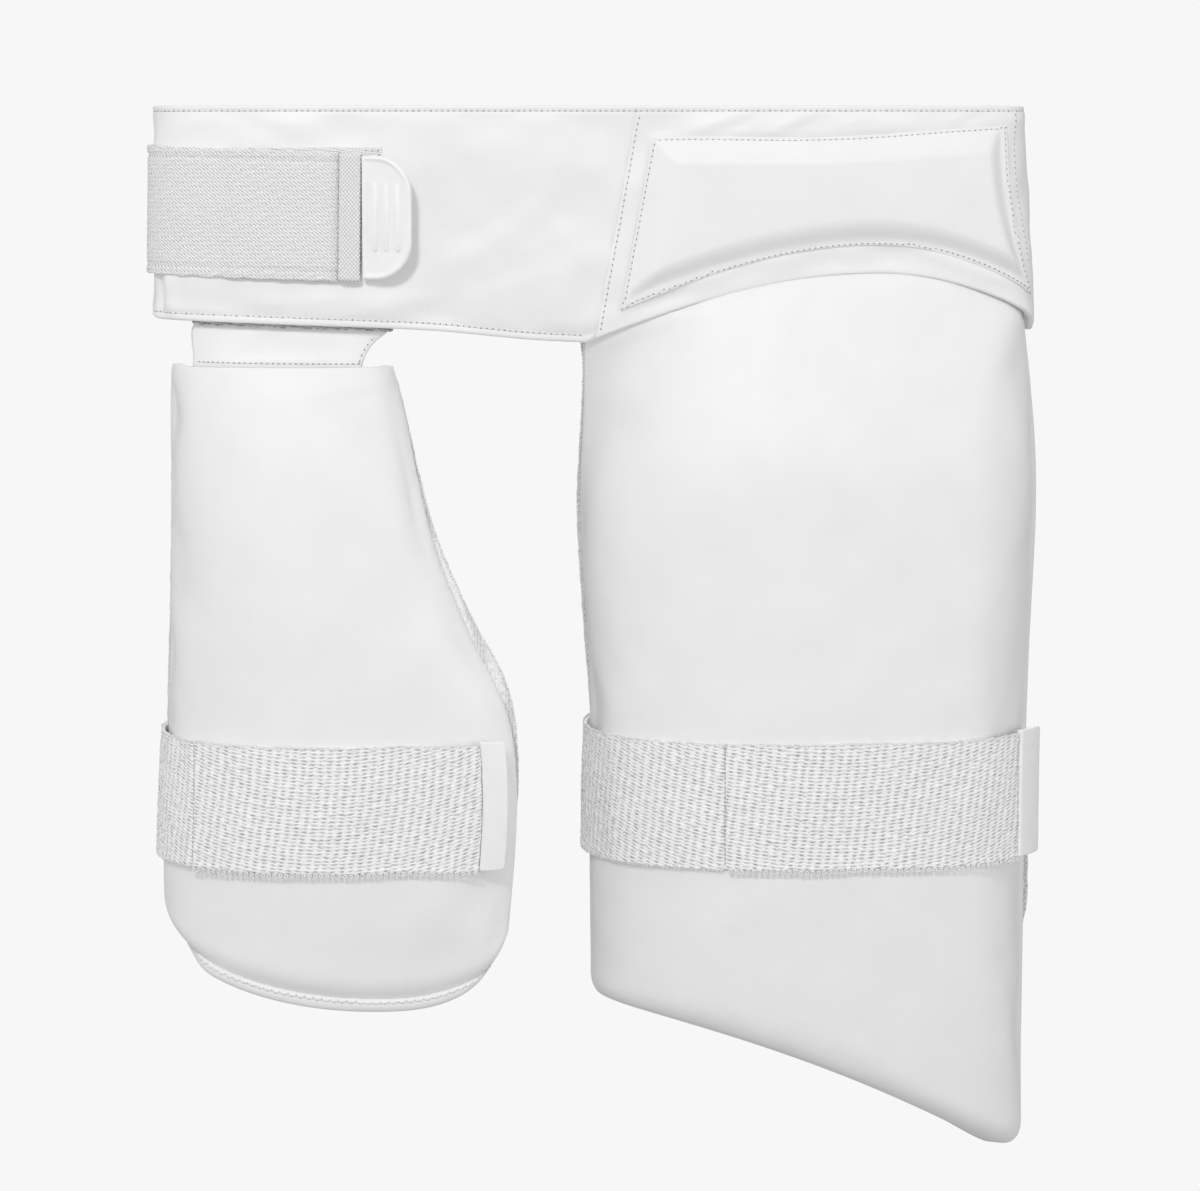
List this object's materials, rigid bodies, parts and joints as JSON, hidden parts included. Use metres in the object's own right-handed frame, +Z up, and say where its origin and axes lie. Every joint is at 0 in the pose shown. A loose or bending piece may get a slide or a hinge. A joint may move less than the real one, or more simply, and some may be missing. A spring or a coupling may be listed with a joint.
{
  "type": "cricket thigh guard",
  "caption": "Cricket thigh guard in its worn form: a waist belt with a raised hip pad carries a long outer and a shorter inner thigh pad, each held by an elastic strap.",
  "frame": {"origin": "middle of the waist hollow, at half the belt's height", "axes": "+Z up, +X to the wearer's left (to the right in the picture), +Y to the back; the belt's front and the pads' faces look along -Y"},
  "size_m": [0.455, 0.1701, 0.5365],
  "materials": {
    "cover": "satin coated white polyurethane leather, fine grain",
    "lining": "matt brushed knit, off white",
    "elastic": "matt knitted elastic with a diagonal rib",
    "strap_pile": "matt looped pile on elastic",
    "hook_tape": "matt hook tape, light grey",
    "moulded": "smooth satin moulded plastic, white"
  },
  "bodies": {
    "root": {"belt_wing": "cover", "hip_panel": "cover", "hip_pad": "cover", "belt_loop_patch": "strap_pile", "waist_elastic": "elastic", "pull_tab": "moulded", "outer_pad": "cover", "outer_lining": "lining", "outer_strap": "strap_pile", "outer_strap_hook": "hook_tape", "outer_strap_tab": "moulded", "inner_pad": "cover", "inner_lining": "lining", "inner_binding": "cover", "inner_flap": "cover", "flap_hook_tape": "hook_tape", "inner_strap": "strap_pile", "inner_strap_hook": "hook_tape", "inner_strap_tab": "moulded"}
  },
  "joints": []
}
